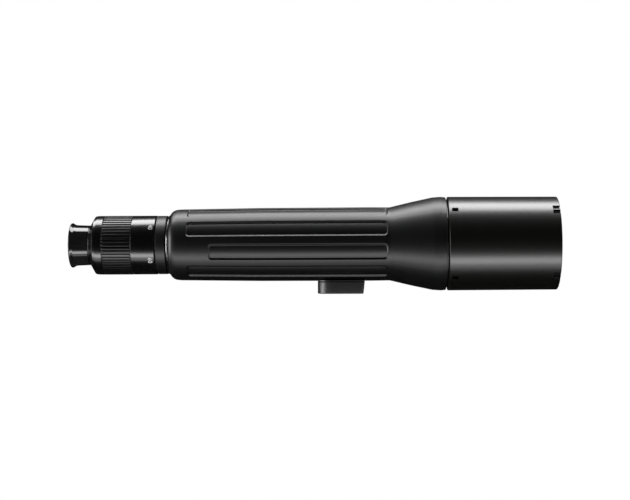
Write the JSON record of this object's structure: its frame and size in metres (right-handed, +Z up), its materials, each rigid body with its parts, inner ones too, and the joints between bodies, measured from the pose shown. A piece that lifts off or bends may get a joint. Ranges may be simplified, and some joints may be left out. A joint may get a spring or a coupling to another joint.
{
  "type": "spotting scope",
  "caption": "Straight rubber-armoured zoom spotting scope with twist-up eyecup, ribbed zoom ring, focus ring, sliding sunshade and a threaded tripod foot.",
  "frame": {"origin": "middle of the flat face under the tripod foot", "axes": "+X along the optical axis from the eyepiece to the objective, +Z up, +Y to the left as the user looks through it"},
  "size_m": [0.395, 0.0756, 0.078],
  "materials": {
    "armour_rubber": "matt black armour rubber",
    "grip_rubber": "matt black grip rubber",
    "seal_rubber": "smooth black seal rubber",
    "eyecup_rubber_black": "smooth glossy black rubber",
    "satin_black": "satin black anodised",
    "hood_black": "satin black lacquer",
    "anodised_black": "matt black anodised",
    "machined_aluminium": "plain machined",
    "turned_brass": "plain turned",
    "bright_steel": "bright",
    "black_plastic": "satin",
    "coated_glass": "polished, green anti-reflection coating"
  },
  "bodies": {
    "scope_body": {"rubber_armour": "armour_rubber", "main_tube": "anodised_black", "objective_barrel": "anodised_black", "objective_front_lens": "coated_glass", "objective_spacer": "turned_brass", "objective_rear_lens": "coated_glass", "objective_retaining_ring": "anodised_black", "sunshade_brake_ring": "grip_rubber", "light_baffle": "anodised_black", "prism_carrier": "machined_aluminium", "prism_rear": "coated_glass", "prism_front": "coated_glass", "prism_clamp": "bright_steel", "prism_screw_left": "bright_steel", "prism_screw_right": "bright_steel", "tripod_foot": "anodised_black", "foot_thread_insert": "bright_steel", "foot_screw_rear": "bright_steel", "foot_screw_front": "bright_steel", "bead_ring_rear": "seal_rubber", "bead_ring_front": "seal_rubber", "eyepiece_tube": "anodised_black", "eye_lens": "coated_glass", "eye_lens_ring": "anodised_black", "field_stop": "anodised_black", "index_ring": "satin_black"},
    "sunshade": {"sunshade_tube": "hood_black"},
    "focus_ring_body": {"focus_ring": "turned_brass", "focus_cover": "grip_rubber", "focus_drive_sleeve": "turned_brass", "focus_drive_pin": "bright_steel"},
    "focus_carriage": {"focus_nut": "black_plastic", "focus_rod_left": "machined_aluminium", "focus_rod_right": "machined_aluminium", "focus_lens_cell": "black_plastic", "focus_lens": "coated_glass"},
    "zoom_ring_body": {"zoom_ring": "satin_black", "zoom_grip": "grip_rubber", "zoom_cam_sleeve": "machined_aluminium", "zoom_drive_screw": "bright_steel"},
    "zoom_front_group": {"zoom_front_cell": "machined_aluminium", "zoom_front_lens": "coated_glass", "zoom_front_pin": "bright_steel"},
    "zoom_rear_group": {"zoom_rear_cell": "machined_aluminium", "zoom_rear_lens": "coated_glass", "zoom_rear_pin": "bright_steel"},
    "click_ring_body": {"eyecup_click_ring": "bright_steel"},
    "eyecup_body": {"eyecup_rubber": "eyecup_rubber_black", "eyecup_sleeve": "black_plastic", "eyecup_pin": "bright_steel"}
  },
  "joints": [
    {"name": "sunshade_slide", "type": "slide", "parent": "scope_body", "child": "sunshade", "axis": [1, 0, 0], "range_m": [0, 0.055]},
    {"name": "focus_turn", "type": "hinge", "parent": "scope_body", "child": "focus_ring_body", "pos_m": [-0.1457, 0, 0.04], "axis": [1, 0, 0], "range_deg": [-60, 60]},
    {"name": "focus_slide", "type": "slide", "parent": "scope_body", "child": "focus_carriage", "axis": [1, 0, 0], "range_m": [-0.0041, 0.0041]},
    {"name": "zoom_turn", "type": "hinge", "parent": "scope_body", "child": "zoom_ring_body", "pos_m": [-0.178, 0, 0.04], "axis": [-1, 0, 0], "range_deg": [-28, 112]},
    {"name": "zoom_front_slide", "type": "slide", "parent": "scope_body", "child": "zoom_front_group", "axis": [1, 0, 0], "range_m": [-0.0017, 0.0065]},
    {"name": "zoom_rear_slide", "type": "slide", "parent": "scope_body", "child": "zoom_rear_group", "axis": [1, 0, 0], "range_m": [-0.0049, 0.0013]},
    {"name": "eyecup_twist", "type": "hinge", "parent": "scope_body", "child": "click_ring_body", "pos_m": [-0.2116, 0, 0.04], "axis": [-1, 0, 0], "range_deg": [0, 120]},
    {"name": "eyecup_lift", "type": "slide", "parent": "click_ring_body", "child": "eyecup_body", "axis": [-1, 0, 0], "range_m": [0, 0.0086]}
  ],
  "couplings": [
    {"joint": "focus_slide", "follows": "focus_turn", "m_per_rad": 0.00382},
    {"joint": "zoom_front_slide", "follows": "zoom_turn", "m_per_rad": 0.00327},
    {"joint": "zoom_rear_slide", "follows": "zoom_turn", "m_per_rad": -0.00246},
    {"joint": "eyecup_lift", "follows": "eyecup_twist", "m_per_rad": 0.00405}
  ]
}
